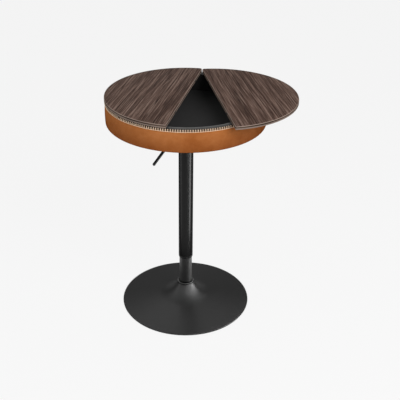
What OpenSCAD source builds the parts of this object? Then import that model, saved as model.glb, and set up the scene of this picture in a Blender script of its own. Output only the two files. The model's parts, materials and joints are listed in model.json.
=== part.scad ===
// Height-adjustable round bar table with a storage drum and two swinging top panels.
// Millimetres, +Z up, the column's axis is Z and the floor is z = 0.
// The front, seen by someone in front of the open panels, is -Y.

/* [Setting as stored] */
// Height of the tabletop above the floor
table_h = 905; // [860:5:950]
// How far the top can still be lowered
travel_down = 115; // [70:5:125]
// How far the top can still be raised
travel_up = 95; // [60:5:105]
// How far the right panel is swung open
right_open = 22.6; // [0:0.1:35]
// How far a panel can swing before its peg stops it
open_max = 35; // [30:1:40]
// Direction of the seam, turned clockwise from straight back
seam_dir = 11.6; // [0:0.1:30]

/* [Top panels] */
// Thickness of a top panel
panel_t = 12; // [10:0.5:16]
// How far the panels reach past the drum
panel_overhang = 2.5; // [1:0.5:8]
// Thickness of the edge band
band_t = 1; // [0.5:0.1:1.5]
// Gap between the closed panels
seam_gap = 4; // [3:0.5:8]
// Height of the gap between the panels and the drum rim
panel_lift = 3; // [2.5:0.5:5]
// Rounding of the corners beside the pivots
pivot_corner_r = 10; // [6:0.5:10]
// Rounding of the free corners at the front
free_corner_r = 3; // [2:0.5:6]

/* [Panel pivots] */
// Distance of a pivot from the seam line
pivot_x = 14; // [12:0.5:20]
// Radius of the pivot pin
pin_r = 4; // [3:0.25:4.5]
// Radius of the pivot pin's flange
pin_flange_r = 9; // [7:0.5:10]
// Thickness of the pivot pin's flange
pin_flange_t = 3; // [2:0.5:4]
// Length of the stud that holds the pin in the panel
pin_stud_l = 6; // [4:0.5:7]
// Wall of the pivot bush
pivot_bush_t = 2.5; // [1.5:0.25:2.5]
// Length of the pivot bush in the drum wall
pivot_bush_l = 28; // [20:1:36]
// Lock nut across flats
lock_nut_af = 10; // [9:0.5:11]
// Height of the lock nut
lock_nut_h = 6; // [4:0.5:8]
// Radius of a stop peg
peg_r = 6; // [4:0.5:8]
// Length of a stop peg below its panel
peg_l = 13; // [10:1:18]
// Distance of a stop peg from the seam line
peg_x = 22; // [16:1:40]
// Radius of a seam bumper
bumper_r = 4; // [2:0.5:5]

/* [Drum] */
// Outer radius of the drum with its leather
drum_r = 297.5; // [270:2.5:320]
// Depth of the storage from the drum wall's top to its floor
wall_h = 69; // [50:1:100]
// Thickness of the drum wall
wall_t = 18; // [16:0.5:24]
// Thickness of the drum floor board
floor_t = 12; // [10:0.5:18]
// Thickness of the leather
leather_t = 2; // [1.2:0.1:3]
// Width of the leather hem that is folded at the top edge
hem_h = 11; // [8:0.5:16]
// How far the hem stands out
hem_t = 0.8; // [0.4:0.1:1]
// Width of the leather that is turned under the drum
leather_under = 13; // [6:1:30]
// Thickness of the top rim ring
rim_t = 2; // [1:0.5:3]
// Thickness of the lining
lining_t = 1.2; // [0.8:0.1:2]
// Radius of a glide on the rim
glide_r = 7.5; // [5:0.5:8]
// Radius of a floor screw's shank
screw_r = 2; // [1.5:0.25:2.5]
// Length of a floor screw
screw_l = 36; // [30:1:40]
// Number of floor screws
screw_count = 8; // [6:1:12]

/* [Mounting plate and lever] */
// Side of the square mounting plate
plate_w = 150; // [130:5:180]
// Thickness of the mounting plate
plate_t = 3; // [2:0.5:5]
// Spacing of the mounting bolts
bolt_spacing = 120; // [106:2:124]
// Radius of a mounting bolt
bolt_r = 3; // [2.5:0.5:4]
// Radius of the dish under the plate
dish_r = 45; // [40:1:50]
// Depth of the dish under the plate
dish_h = 41; // [38:1:48]
// Wall of the dish
dish_t = 2.5; // [2:0.5:3]
// Length of the taper socket
socket_l = 40; // [30:1:50]
// Wall of the taper socket
socket_t = 5; // [4:0.5:6]
// Direction of the lever, turned clockwise from straight forward
lever_dir = 36; // [0:1:60]
// Radius of the lever rod
lever_r = 4; // [3:0.25:4.5]
// Reach of the lever from the column's axis
lever_reach = 196; // [160:1:220]
// How far the lever's tip hangs below its pivot
lever_drop = 93; // [60:1:96]
// Distance of the lever's pivot from the column's axis
lever_pivot_x = 24; // [20:1:26]
// Height of the lever's inner bar
lever_bar_h = 10; // [9:0.5:12]
// Radius of the lever's pivot pin
lever_pin_r = 2.5; // [1.5:0.25:3]
// Length of the lever's grip
grip_l = 78; // [50:1:90]
// Wall of the lever's grip
grip_t = 1.5; // [1:0.25:2.5]

/* [Column] */
// Outer radius of the lower tube
column_r = 25.4; // [24:0.1:27]
// Wall of the lower tube
column_t = 2; // [1.5:0.1:3]
// Wall of the cover sleeve
sleeve_t = 1.5; // [1:0.1:2]
// Wall of the ring at the sleeve's end
end_ring_t = 1.2; // [1:0.1:2]
// Height of the rounded ring at the sleeve's end
end_ring_h = 8; // [5:0.5:12]
// Gap that is left over the collar at the lowest setting
lowest_gap = 2; // [1:0.5:6]
// Radius of the gas cylinder
gas_r = 14; // [13:0.5:15]
// Wall of the gas cylinder
gas_t = 2; // [1.5:0.25:2.5]
// Radius of the piston rod
rod_r = 5; // [4:0.5:6]
// Length of the guide bush in the lower tube
guide_l = 70; // [50:1:90]
// Height of the piston
piston_h = 22; // [15:1:25]
// Radius of the valve pin
valve_r = 3; // [2:0.5:4]
// Travel of the valve pin
valve_travel = 3.6; // [3:0.1:4]

/* [Base] */
// Radius of the base
base_r = 260; // [230:5:290]
// Thickness of the base sheet
sheet_t = 2; // [1.5:0.1:2.5]
// Slope of the base's outer cone in degrees
cone_slope = 7; // [6:0.5:9]
// Radius of the flare between the cone and the neck
flare_r = 95.5; // [80:0.5:110]
// Slope of the flare where it meets the neck's rim, in degrees from the floor
neck_lean = 68; // [60:1:80]
// Height of the neck's straight rim
neck_rim_h = 2; // [1:0.5:5]
// Height of the collar above the neck
collar_h = 5; // [4:0.5:8]
// Wall of the collar inside the neck
collar_t = 4.7; // [3:0.1:6]
// Thickness of the rubber foot ring
foot_t = 2; // [2:0.5:4]
// Width of the rubber foot ring
foot_w = 17; // [12:1:19]
// Width of the hem under the base's edge
base_hem_w = 22; // [20:1:30]
// Height of the ballast plate's upper face above the floor
ballast_h = 15; // [12:0.5:16]
// Radius of the boss in the middle of the ballast plate
boss_r = 45; // [42:1:50]
// Height of the boss above the floor
boss_h = 24; // [22:1:28]
// Radius of the base bolt
base_bolt_r = 6; // [5:0.5:8]

/* [Hidden] */
$fn = 96;

// Fits and small gaps
run_gap = 0.05;
fit_gap = 0.2;
slide_gap = 0.3;
over = 1;

// Colours
wood_colour = [0.36, 0.30, 0.27];
leather_colour = [0.61, 0.36, 0.19];
black_colour = [0.13, 0.13, 0.14];
steel_colour = [0.62, 0.63, 0.65];
board_colour = [0.55, 0.44, 0.32];
nylon_colour = [0.85, 0.84, 0.80];

// Levels of the drum, worked down from the tabletop
panel_z = table_h - panel_t;
rim_top = panel_z - panel_lift;
wall_top = rim_top - rim_t;
floor_top = wall_top - wall_h;
floor_z = floor_top - floor_t;
drum_z = floor_z - leather_t;

// Radii of the drum
panel_r = drum_r + panel_overhang;
wall_r = drum_r - leather_t;
wall_in = wall_r - wall_t;
wall_mid = wall_r - wall_t / 2;
lining_in = wall_in - fit_gap - lining_t;
hem_r = drum_r + hem_t;

// Levels of the mounting plate, its dish and the lever
lever_lift_z = 17;
plate_z = floor_z - plate_t;
dish_z = plate_z - dish_h + plate_t;
lever_z = dish_z + lever_lift_z;
pin_rest_gap = 0.5;
valve_stub = 1.5;
pin_top = lever_z - lever_bar_h / 2 - pin_rest_gap;
gas_top = pin_top - valve_travel - valve_stub;
lever_bend_x = lever_pivot_x + 6;
ear_t = 2.5;
ear_w = 13;
ear_gap = 0.4;
ear_in = lever_bar_h / 2 + ear_gap;
pin_stub = 1;
slot_gap = 2;
taper = 1 / 36;
valve_block_h = 38;
valve_guide_h = 25;
hole_gap = 0.3;

// Base, worked up from the floor
hem_z = foot_t;
fold_r = 1.25 * sheet_t;
fold_x = base_r - fold_r;
fold_z = hem_z + fold_r;
neck_r = column_r + fit_gap + collar_t + fit_gap + sheet_t;
flare_x = neck_r + flare_r * sin(neck_lean);
flare_end_x = flare_x - flare_r * sin(cone_slope);
cone_x = fold_x + fold_r * sin(cone_slope);
cone_z = fold_z + fold_r * cos(cone_slope);
flare_end_z = cone_z + (cone_x - flare_end_x) * tan(cone_slope);
flare_z = flare_end_z + flare_r * cos(cone_slope);
neck_top = flare_z - flare_r * cos(neck_lean) + neck_rim_h;
collar_top = neck_top + collar_h;
collar_lip = 1;
collar_r = neck_r + collar_lip;
collar_skirt_h = 12;
hem_clear = 6;
ballast_r = base_r - base_hem_w - hem_clear;
ballast_lift = 2.5;
ballast_z = hem_z + ballast_lift;
recess_r = 32;
boss_web = 10;
recess_top = boss_h - boss_web;
washer_r = 24;
washer_t = 2;
bolt_head_r = 10.4;
bolt_head_h = 7.5;
flare_steps = 14;
fold_steps = 8;

// Column and gas spring, tied to the travel
end_plate_h = 10;
column_z = boss_h;
column_in = column_r - column_t;
socket_clear = 12;
column_top = dish_z - socket_l - travel_down - socket_clear;
guide_flange_t = 3;
guide_clear = 10;
gas_z = column_top - guide_l - travel_up - guide_clear;
gas_in = gas_r - gas_t;
gas_chamber_top = gas_top - valve_block_h;
seal_h = 20;
rod_step = 1;
tail_r = rod_r - rod_step;
clip_t = 3;
clip_w = 4;
tail_below = 7;
piston_z = gas_z + travel_up + seal_h + slide_gap;
bump_h = 36;
seat_t = 5;
race_t = 2.4;
race_gap = 3;
race_r = column_in - race_gap;
ball_r = 2;
ball_dip = 0.6;
ball_pcd_r = 13;
ball_count = 12;
shoulder_z = gas_z - travel_down - slide_gap - bump_h;
upper_race_z = shoulder_z - race_t;
ball_z = upper_race_z - ball_r + ball_dip;
seat_z = ball_z - ball_r + ball_dip - race_t - seat_t;

// Cover sleeve, tied to the lower tube and the travel
end_ring_in = column_r + slide_gap;
sleeve_in = end_ring_in + end_ring_t + fit_gap / 2;
sleeve_r = sleeve_in + sleeve_t;
end_ring_z = collar_top + lowest_gap + travel_down;
sleeve_z = end_ring_z + end_ring_h;
hanger_flange_t = 7;
sleeve_top = dish_z - hanger_flange_t;
hanger_l = 20;
end_ring_skirt_h = 20;

// Panels and pivots in the seam's own frame
seam_half = seam_gap / 2;
pivot_y = sqrt(wall_mid * wall_mid - pivot_x * pivot_x);
bush_r = pin_r + run_gap + pivot_bush_t;
bush_z = wall_top - pivot_bush_l;
pocket_clear = 6;
pocket_h = lock_nut_h + pocket_clear;
nut_clear = 1.5;
pin_tail = 2;
bush_flange_w = 2.2;
pocket_gap = 0.1;
peg_screw_l = 6;
glide_chamfer = 0.8;
nut_r = lock_nut_af / 2 / cos(30);
peg_reach = lining_in - peg_r - slide_gap;
peg_a = pivot_x + (peg_x - pivot_x) * cos(open_max);
peg_b = pivot_y + (peg_x - pivot_x) * sin(open_max);
peg_c = peg_b * cos(open_max) - peg_a * sin(open_max);
peg_arm = peg_c + sqrt(peg_c * peg_c - peg_a * peg_a - peg_b * peg_b + peg_reach * peg_reach);
peg_y = pivot_y - peg_arm;
bumper_t = seam_half - slide_gap;
bumper_y = 0.55 * panel_r;
glide_h = panel_lift - slide_gap;
left_glides = [110, 165, 225];
right_glides = [10, 48, 320];

// Plain ring standing on z = 0
module ring(outer, inner, h) {
    difference() {
        cylinder(r = outer, h = h);
        translate([0, 0, -over]) cylinder(r = inner, h = h + 2 * over);
    }
}

// Moves its children to height z
module at(z) {
    translate([0, 0, z]) children();
}

// Turns its children into the seam's frame, whose +Y runs along the seam to the back
module seam_frame() {
    rotate([0, 0, -seam_dir]) children();
}

// Swings its children open about the right pivot
module right_swing() {
    seam_frame() translate([pivot_x, pivot_y, 0]) rotate([0, 0, right_open])
        translate([-pivot_x, -pivot_y, 0]) children();
}

// Left-hand mirror of its children, in the seam's frame
module left_side() {
    seam_frame() mirror([1, 0, 0]) children();
}

// Turns its children so that +X points along the lever
module lever_frame() {
    rotate([0, 0, 270 - lever_dir]) children();
}

// Copies its children to the four mounting bolts
module at_bolts() {
    for (x = [-1, 1], y = [-1, 1]) lever_frame()
        translate([x * bolt_spacing / 2, y * bolt_spacing / 2, 0]) children();
}

// Base

// Points along the flare, offset outwards or inwards by the radius
function flare_arc(r, from, to) = [for (i = [0 : flare_steps])
    let (a = from + (to - from) * i / flare_steps) [flare_x + r * cos(a), flare_z + r * sin(a)]];
function fold_arc(r, from, to) = [for (i = [0 : fold_steps])
    let (a = from + (to - from) * i / fold_steps) [fold_x + r * cos(a), fold_z + r * sin(a)]];

module base_shell() color(black_colour) {
    inner_fold = fold_r - sheet_t;
    rotate_extrude() polygon(concat(
        [[base_r - base_hem_w, hem_z]],
        fold_arc(fold_r, -90, 90 - cone_slope),
        flare_arc(flare_r, 270 - cone_slope, 270 - neck_lean),
        [[neck_r, neck_top], [neck_r - sheet_t, neck_top]],
        flare_arc(flare_r + sheet_t, 270 - neck_lean, 270 - cone_slope),
        fold_arc(inner_fold, 90 - cone_slope, -90),
        [[base_r - base_hem_w, hem_z + sheet_t]]));
}

// Height of the shell's underside above the floor at radius x, on the cone
function shell_under(x) = cone_z - sheet_t / cos(cone_slope) + (cone_x - x) * tan(cone_slope);

module ballast_plate() color(black_colour) {
    top_r = cone_x - (ballast_h + slide_gap + sheet_t / cos(cone_slope) - cone_z) / tan(cone_slope);
    rotate_extrude() polygon([
        [base_bolt_r + hole_gap, recess_top], [recess_r, recess_top], [recess_r, ballast_z],
        [ballast_r, ballast_z], [ballast_r, shell_under(ballast_r) - slide_gap],
        [top_r, ballast_h], [boss_r, ballast_h], [boss_r, boss_h],
        [base_bolt_r + hole_gap, boss_h]]);
}

module foot_ring() color(black_colour) {
    foot_out = fold_x;
    ring(foot_out, foot_out - foot_w, foot_t);
}

module base_washer() color(steel_colour) {
    at(recess_top - washer_t) ring(washer_r, base_bolt_r + hole_gap, washer_t);
}

module base_bolt() color(steel_colour) {
    head_z = recess_top - washer_t - bolt_head_h;
    at(head_z) cylinder(r = bolt_head_r, h = bolt_head_h, $fn = 6);
    at(head_z) cylinder(r = base_bolt_r, h = column_z + end_plate_h - head_z);
}

module column_end_plate() color(steel_colour) {
    at(column_z) ring(column_in - fit_gap / 2, base_bolt_r + run_gap, end_plate_h);
}

module column_tube() color(black_colour) {
    at(column_z) ring(column_r, column_in, column_top - column_z);
}

module neck_collar() color(black_colour) {
    bore = column_r + fit_gap;
    rotate_extrude() polygon([
        [bore, neck_top - collar_skirt_h], [neck_r - sheet_t - fit_gap, neck_top - collar_skirt_h],
        [neck_r - sheet_t - fit_gap, neck_top], [collar_r, neck_top],
        [collar_r, neck_top + 0.6 * collar_h], [collar_r - 0.3 * collar_h, collar_top],
        [bore + 0.5 * collar_h, collar_top], [bore, neck_top + 0.5 * collar_h]]);
}

// Lower tube's inner parts

module guide_bush() color(nylon_colour) {
    rotate_extrude() polygon([
        [gas_r + run_gap, column_top - guide_l], [column_in - fit_gap, column_top - guide_l],
        [column_in - fit_gap, column_top], [column_r - fit_gap, column_top],
        [column_r - fit_gap, column_top + guide_flange_t],
        [gas_r + run_gap, column_top + guide_flange_t]]);
}

module spring_seat_plate() color(steel_colour) {
    at(seat_z) ring(column_in - fit_gap / 2, tail_r + run_gap, seat_t);
}

// Flat race with a ball groove
module race() {
    difference() {
        ring(race_r, tail_r + run_gap, race_t);
        at(race_t + ball_r - ball_dip) rotate_extrude() translate([ball_pcd_r, 0])
            circle(r = ball_r + run_gap, $fn = 32);
    }
}

module bearing_lower_race() color(steel_colour) {
    at(seat_z + seat_t) race();
}

module bearing_upper_race() color(steel_colour) {
    at(shoulder_z) mirror([0, 0, 1]) race();
}

module bearing_balls() color(steel_colour) {
    for (i = [0 : ball_count - 1]) rotate([0, 0, i * 360 / ball_count])
        translate([ball_pcd_r, 0, ball_z]) sphere(r = ball_r, $fn = 24);
}

module rod_clip() color(steel_colour) {
    at(seat_z - slide_gap - clip_t) ring(tail_r + clip_w, tail_r, clip_t);
}

module piston_rod() color(steel_colour) {
    tail_z = seat_z - tail_below;
    at(tail_z) cylinder(r = tail_r, h = shoulder_z - tail_z);
    at(shoulder_z) cylinder(r = rod_r, h = piston_z - shoulder_z);
    at(piston_z) cylinder(r = tail_r, h = piston_h);
}

module bump_stop() color(black_colour) {
    waist = 2;
    rotate_extrude() polygon([
        [rod_r + run_gap, shoulder_z], [gas_in, shoulder_z], [gas_in, shoulder_z + bump_h / 3],
        [gas_in - waist, shoulder_z + bump_h / 2], [gas_in, shoulder_z + 2 * bump_h / 3],
        [gas_in - waist, shoulder_z + bump_h], [rod_r + run_gap, shoulder_z + bump_h]]);
}

module piston() color(steel_colour) {
    at(piston_z) ring(gas_in - 2 * run_gap, tail_r, piston_h);
}

// Gas cylinder and cover

module gas_cylinder() color(black_colour) {
    taper_z = dish_z - socket_l;
    taper_drop = (gas_top - taper_z) * taper;
    difference() {
        union() {
            at(gas_z) cylinder(r = gas_r, h = taper_z - gas_z);
            at(taper_z) cylinder(r1 = gas_r, r2 = gas_r - taper_drop, h = gas_top - taper_z);
        }
        at(gas_z - over) cylinder(r = gas_in, h = gas_chamber_top - gas_z + over);
        at(gas_top - valve_guide_h) cylinder(r = valve_r + run_gap, h = valve_guide_h + over);
    }
}

module rod_seal() color(black_colour) {
    at(gas_z) ring(gas_in - run_gap, rod_r + run_gap, seal_h);
}

module valve_pin() color(steel_colour) {
    at(pin_top - valve_guide_h) cylinder(r = valve_r, h = valve_guide_h);
}

module cover_sleeve() color(black_colour) {
    at(sleeve_z) ring(sleeve_r, sleeve_in, sleeve_top - sleeve_z);
}

module sleeve_hanger() color(black_colour) {
    bore = gas_r + socket_t + fit_gap;
    at(sleeve_top) ring(sleeve_r, bore, hanger_flange_t);
    at(sleeve_top - hanger_l) ring(sleeve_in - fit_gap / 2, bore, hanger_l);
}

module sleeve_end_ring() color(black_colour) {
    outer = sleeve_r;
    chamfer = 0.3 * end_ring_h;
    rotate_extrude() polygon([
        [end_ring_in, end_ring_z], [outer - chamfer, end_ring_z],
        [outer - 0.3 * chamfer, end_ring_z + 0.5 * chamfer],
        [outer, end_ring_z + 1.4 * chamfer], [outer, sleeve_z],
        [sleeve_in - fit_gap / 2, sleeve_z],
        [sleeve_in - fit_gap / 2, sleeve_z + end_ring_skirt_h],
        [end_ring_in, sleeve_z + end_ring_skirt_h]]);
}

// Mounting plate and lever

module mounting_plate() color(black_colour) {
    difference() {
        lever_frame() translate([-plate_w / 2, -plate_w / 2, plate_z])
            cube([plate_w, plate_w, plate_t]);
        at(plate_z - over) cylinder(r = dish_r - dish_t, h = plate_t + 2 * over);
        at_bolts() at(plate_z - over) cylinder(r = bolt_r + hole_gap, h = plate_t + 2 * over);
    }
}

module lever_housing() color(black_colour) {
    taper_z = dish_z - socket_l;
    dish_floor = dish_z + dish_t;
    bore_drop = (dish_floor - taper_z) * taper;
    bore_r = gas_r + run_gap;
    slot_w = 2 * (lever_r + slot_gap);
    ear_top = lever_z + ear_w / 2;
    difference() {
        union() {
            at(dish_z) cylinder(r = dish_r, h = plate_z - dish_z);
            at(taper_z) cylinder(r = gas_r + socket_t, h = socket_l + dish_t);
        }
        at(dish_floor) cylinder(r = dish_r - dish_t, h = dish_h);
        at(taper_z) cylinder(r1 = bore_r, r2 = bore_r - bore_drop, h = dish_floor - taper_z);
        lever_frame() translate([dish_r - 2 * dish_t, -slot_w / 2, lever_stop_z])
            cube([3 * dish_t, slot_w, plate_z - lever_stop_z]);
    }
    for (side = [-1, 1]) lever_frame() difference() {
        translate([lever_pivot_x - ear_w / 2, side > 0 ? ear_in : -ear_in - ear_t, dish_z + dish_t / 2])
            cube([ear_w, ear_t, ear_top - dish_z - dish_t / 2]);
        translate([lever_pivot_x, 0, lever_z]) rotate([90, 0, 0])
            cylinder(r = lever_pin_r, h = 2 * dish_r, center = true);
    }
}

module lever_pin() color(steel_colour) {
    pin_l = 2 * (ear_in + ear_t + pin_stub);
    lever_frame() translate([lever_pivot_x, 0, lever_z]) rotate([90, 0, 0])
        cylinder(r = lever_pin_r, h = pin_l, center = true, $fn = 32);
}

module plate_bolts() color(steel_colour) {
    head_h = 4;
    head_r = 1.95 * bolt_r;
    at_bolts() {
        at(plate_z - head_h) cylinder(r = head_r, h = head_h, $fn = 6);
        at(plate_z - head_h)
            cylinder(r = bolt_r - run_gap, h = head_h + plate_t + floor_t - bolt_short, $fn = 32);
    }
}

tee_flange_r = 9;
tee_flange_t = 1.5;
tee_wall = 1.2;
bolt_short = 2;
module tee_nuts() color(steel_colour) {
    at_bolts() {
        at(floor_top - tee_flange_t) ring(tee_flange_r, bolt_r, tee_flange_t);
        at(floor_z + bolt_short)
            ring(bolt_r + tee_wall, bolt_r, floor_t - bolt_short - tee_flange_t);
    }
}

lever_run = lever_reach - lever_bend_x;
lever_slope = atan2(lever_drop, lever_run);
lever_arm = sqrt(lever_run * lever_run + lever_drop * lever_drop);
lever_stop_z = lever_z - (dish_r - lever_bend_x) * tan(lever_slope)
    - lever_r / cos(lever_slope) - slide_gap;

// Places its children at the bend, with +X down the sloping arm
module on_arm() {
    lever_frame() translate([lever_bend_x, 0, lever_z]) rotate([0, lever_slope, 0]) children();
}

module release_lever() color(black_colour) {
    bar_back = 8;
    bar_l = bar_back + lever_pivot_x + 9;
    rod_end = 3;
    difference() {
        lever_frame() translate([-bar_back, -lever_bar_h / 2, lever_z - lever_bar_h / 2])
            cube([bar_l, lever_bar_h, lever_bar_h]);
        lever_frame() translate([lever_pivot_x, 0, lever_z]) rotate([90, 0, 0])
            cylinder(r = lever_pin_r + run_gap, h = 40, center = true);
    }
    on_arm() rotate([0, 90, 0]) cylinder(r = lever_r, h = lever_arm - rod_end - grip_t);
}

module lever_grip() color(black_colour) {
    outer = lever_r + grip_t;
    on_arm() translate([lever_arm - grip_l, 0, 0]) rotate([0, 90, 0]) difference() {
        union() {
            cylinder(r1 = outer - 0.6, r2 = outer, h = 4);
            at(4) cylinder(r = outer, h = grip_l - outer - 4);
            at(grip_l - outer) sphere(r = outer);
        }
        at(-over) cylinder(r = lever_r, h = grip_l - 3 - grip_t + over);
    }
}

// Drum

module drum_floor() color(board_colour) {
    difference() {
        at(floor_z) cylinder(r = wall_r, h = floor_t);
        at_bolts() {
            at(floor_z - over) cylinder(r = bolt_r + tee_wall + fit_gap, h = floor_t + 2 * over);
            at(floor_top - tee_flange_t - fit_gap)
                cylinder(r = tee_flange_r + fit_gap, h = tee_flange_t + fit_gap + over);
        }
        at_screws() {
            at(floor_z - over) cylinder(r = screw_r + pocket_gap, h = floor_t + 2 * over);
            at(floor_z) cylinder(r1 = 2 * screw_r + pocket_gap, r2 = screw_r + pocket_gap, h = screw_r);
        }
    }
}

// Copies its children to the floor screws
module at_screws() {
    for (i = [0 : screw_count - 1]) rotate([0, 0, (i + 0.5) * 360 / screw_count])
        translate([wall_mid, 0, 0]) children();
}

module floor_screws() color(steel_colour) {
    at_screws() {
        at(floor_z) cylinder(r1 = 2 * screw_r, r2 = screw_r, h = screw_r, $fn = 32);
        at(floor_z) cylinder(r = screw_r, h = screw_l, $fn = 32);
    }
}

// Copies its children to both panel pivots, first the right one
module at_pivots() {
    for (side = [1, -1]) seam_frame() translate([side * pivot_x, pivot_y, 0]) children();
}

module drum_wall() color(board_colour) {
    pocket_r = nut_r + nut_clear;
    difference() {
        at(floor_top) ring(wall_r, wall_in, wall_h);
        at_pivots() at(bush_z - over) cylinder(r = bush_r, h = pivot_bush_l + 2 * over);
        at_pivots() at(bush_z - pocket_h) cylinder(r = pocket_r, h = pocket_h);
        for (side = [1, -1]) seam_frame()
            translate([side * pivot_x - pocket_r, pivot_y - wall_t, bush_z - pocket_h])
            cube([2 * pocket_r, wall_t, pocket_h]);
        at_screws() at(floor_top - over)
            cylinder(r = screw_r + pocket_gap, h = screw_l - floor_t + 2 * over);
    }
}

module leather_wrap() color(leather_colour) {
    edge = 0.5;
    top = wall_top + rim_t - edge;
    rotate_extrude() polygon([
        [wall_r, floor_z], [wall_r, top - edge], [wall_r + edge, top], [hem_r - edge, top],
        [hem_r, top - edge], [hem_r, top - hem_h + edge], [hem_r - edge, top - hem_h],
        [drum_r, top - hem_h - edge], [drum_r, drum_z + 2 * edge], [drum_r - 2 * edge, drum_z],
        [drum_r - leather_under, drum_z], [drum_r - leather_under, floor_z]]);
}

module rim_ring() color(black_colour) {
    difference() {
        at(wall_top) ring(wall_r - pocket_gap, lining_in - fit_gap, rim_t);
        at_pivots() at(wall_top - over) cylinder(r = bush_r + pocket_gap, h = rim_t + 2 * over);
    }
}

module floor_lining() color(black_colour) {
    at(floor_top) cylinder(r = wall_in - fit_gap, h = lining_t);
}

module wall_lining() color(black_colour) {
    at(floor_top + lining_t) ring(wall_in - fit_gap, lining_in, wall_h - lining_t - fit_gap);
}

module panel_glides() color(black_colour) {
    for (a = concat(left_glides, right_glides)) rotate([0, 0, a - seam_dir])
        translate([wall_mid, 0, rim_top]) {
            cylinder(r = glide_r, h = glide_h - glide_chamfer);
            at(glide_h - glide_chamfer)
                cylinder(r1 = glide_r, r2 = glide_r - glide_chamfer, h = glide_chamfer);
        }
}

module pivot_bushes() color(nylon_colour) {
    flange_r = bush_r + bush_flange_w;
    at_pivots() {
        at(bush_z) ring(bush_r, pin_r + run_gap, rim_top - bush_z);
        at(rim_top) ring(flange_r, pin_r + run_gap, panel_lift - slide_gap);
    }
}

// Top panels, drawn as the right-hand one in the seam's frame

// Solid half disc whose straight edge is at x = edge, with two rounded corners
module half_disc(r, edge, back_r, front_r, h) {
    difference() {
        cylinder(r = r, h = h, $fn = 180);
        translate([edge - 2 * r, -2 * r, -over]) cube([2 * r, 4 * r, h + 2 * over]);
        corner_waste(r, edge, back_r, h);
        mirror([0, 1, 0]) corner_waste(r, edge, front_r, h);
    }
    corner_disc(r, edge, back_r, h);
    mirror([0, 1, 0]) corner_disc(r, edge, front_r, h);
}

function corner_y(r, edge, c) = sqrt((r - c) * (r - c) - (edge + c) * (edge + c));

module corner_waste(r, edge, c, h) {
    y = corner_y(r, edge, c);
    k = (r + 3) / (r - c);
    translate([0, 0, -over]) linear_extrude(height = h + 2 * over)
        polygon([[edge - 2, y], [edge + c, y], [(edge + c) * k, y * k], [edge - 2, r + 3]]);
}

module corner_disc(r, edge, c, h) {
    translate([edge + c, corner_y(r, edge, c), 0]) cylinder(r = c, h = h, $fn = 48);
}

module panel_body() color(wood_colour) {
    difference() {
        at(panel_z) half_disc(panel_r - band_t, seam_half + band_t, pivot_corner_r - band_t,
            free_corner_r - band_t, panel_t);
        translate([pivot_x, pivot_y, panel_z - over])
            cylinder(r = pin_flange_r + pocket_gap, h = pin_flange_t + over);
        translate([pivot_x, pivot_y, panel_z])
            cylinder(r = pin_r + pocket_gap, h = pin_flange_t + pin_stud_l);
        translate([peg_x, peg_y, panel_z - over])
            cylinder(r = screw_r + pocket_gap, h = peg_screw_l + 2 * over);
    }
}

module edge_band() color(wood_colour) {
    at(panel_z) difference() {
        half_disc(panel_r, seam_half, pivot_corner_r, free_corner_r, panel_t);
        at(-over) half_disc(panel_r - band_t, seam_half + band_t, pivot_corner_r - band_t,
            free_corner_r - band_t, panel_t + 2 * over);
    }
}

module pivot_pin() color(steel_colour) {
    translate([pivot_x, pivot_y, 0]) {
        at(panel_z) cylinder(r = pin_flange_r, h = pin_flange_t);
        at(panel_z) cylinder(r = pin_r, h = pin_flange_t + pin_stud_l - slide_gap);
        at(bush_z - pocket_h + pin_tail) cylinder(r = pin_r, h = panel_z - bush_z + pocket_h - pin_tail);
    }
}

module lock_nut() color(steel_colour) {
    translate([pivot_x, pivot_y, bush_z - lock_nut_h - slide_gap]) difference() {
        cylinder(r = nut_r, h = lock_nut_h, $fn = 6);
        at(-over) cylinder(r = pin_r, h = lock_nut_h + 2 * over);
    }
}

module stop_peg() color(black_colour) {
    translate([peg_x, peg_y, 0]) {
        at(panel_z - peg_l) cylinder(r = peg_r, h = peg_l);
        at(panel_z) cylinder(r = screw_r, h = peg_screw_l);
    }
}

module seam_bumpers() color(black_colour) {
    for (y = [-1, 1]) translate([seam_half - bumper_t, y * bumper_y, panel_z + panel_t / 2])
        rotate([0, 90, 0]) cylinder(r = bumper_r, h = bumper_t);
}

module left_panel() left_side() panel_body();
module left_edge_band() left_side() edge_band();
module left_pivot_pin() left_side() pivot_pin();
module left_lock_nut() left_side() lock_nut();
module left_stop_peg() left_side() stop_peg();
module left_seam_bumpers() left_side() seam_bumpers();
module right_panel() right_swing() panel_body();
module right_edge_band() right_swing() edge_band();
module right_pivot_pin() right_swing() pivot_pin();
module right_lock_nut() right_swing() lock_nut();
module right_stop_peg() right_swing() stop_peg();
module right_seam_bumpers() right_swing() seam_bumpers();

base_shell();
ballast_plate();
foot_ring();
column_tube();
column_end_plate();
base_bolt();
base_washer();
neck_collar();
guide_bush();
spring_seat_plate();
bearing_lower_race();
bearing_balls();
piston_rod();
bearing_upper_race();
rod_clip();
bump_stop();
piston();
gas_cylinder();
rod_seal();
mounting_plate();
lever_housing();
lever_pin();
plate_bolts();
tee_nuts();
cover_sleeve();
sleeve_hanger();
sleeve_end_ring();
drum_floor();
floor_screws();
drum_wall();
leather_wrap();
rim_ring();
floor_lining();
wall_lining();
panel_glides();
pivot_bushes();
release_lever();
lever_grip();
valve_pin();
left_panel();
left_edge_band();
left_pivot_pin();
left_lock_nut();
left_stop_peg();
left_seam_bumpers();
right_panel();
right_edge_band();
right_pivot_pin();
right_lock_nut();
right_stop_peg();
right_seam_bumpers();
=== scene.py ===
"""Looks of a height-adjustable round bar table with a leather-wrapped storage drum."""
import json
import math
import random

import bmesh
import bpy
from mathutils import Matrix, Vector, noise


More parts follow.
